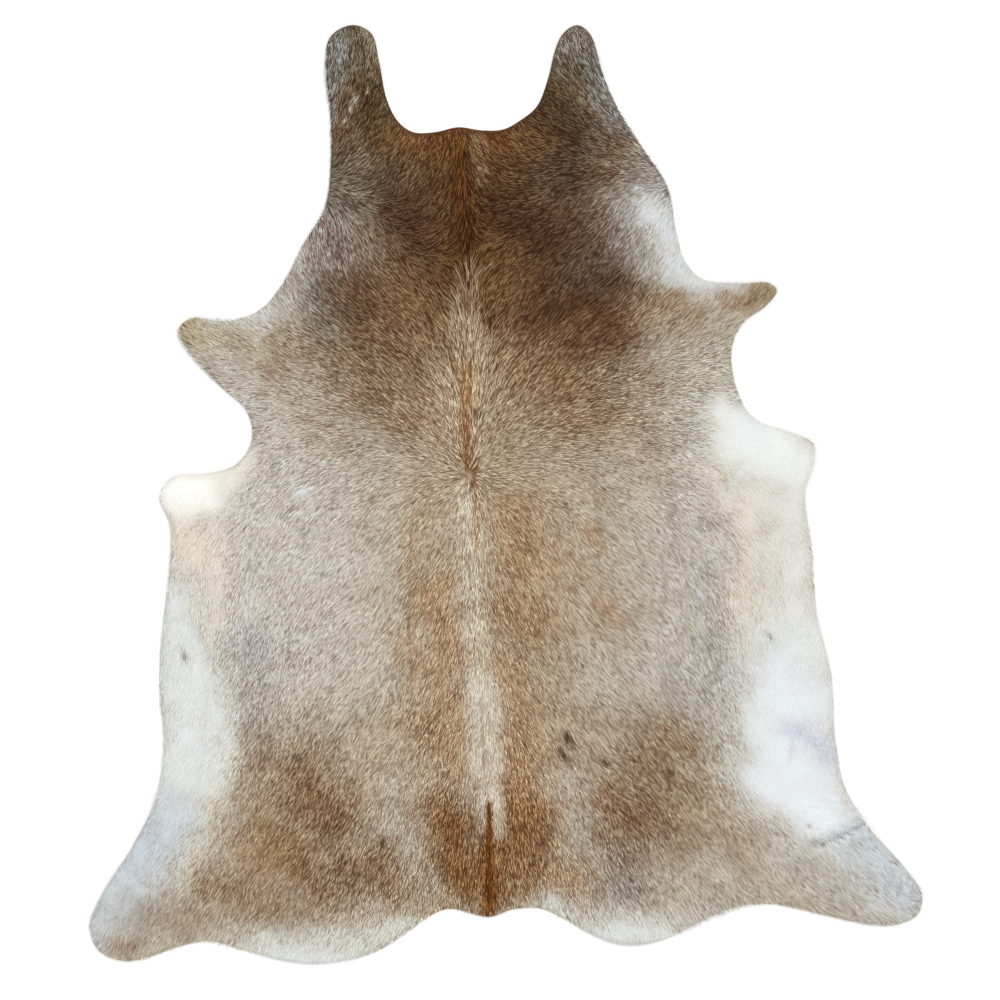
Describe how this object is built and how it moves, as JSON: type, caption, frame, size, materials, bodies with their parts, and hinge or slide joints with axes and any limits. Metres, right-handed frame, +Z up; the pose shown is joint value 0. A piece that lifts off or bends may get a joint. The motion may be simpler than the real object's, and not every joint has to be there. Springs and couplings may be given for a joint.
{
  "type": "cowhide rug",
  "caption": "Whole cowhide rug lying flat with its hair side up, to cover a floor: a thin skin with neck flaps, short front legs, belly flaps, broad hind legs and a scalloped tail edge.",
  "frame": {"origin": "on the floor under the middle of the hide's outline", "axes": "+Y towards the neck, +X towards the flank that is on the right from above, +Z up out of the hair side"},
  "size_m": [1.8602, 2.098, 0.0118],
  "materials": {
    "hide": "tanned skin with its own short hair on, satin, brown and taupe along the neck and rump, beige on the back and off-white along the belly and legs"
  },
  "bodies": {
    "root": {"hide": "hide"}
  },
  "joints": []
}
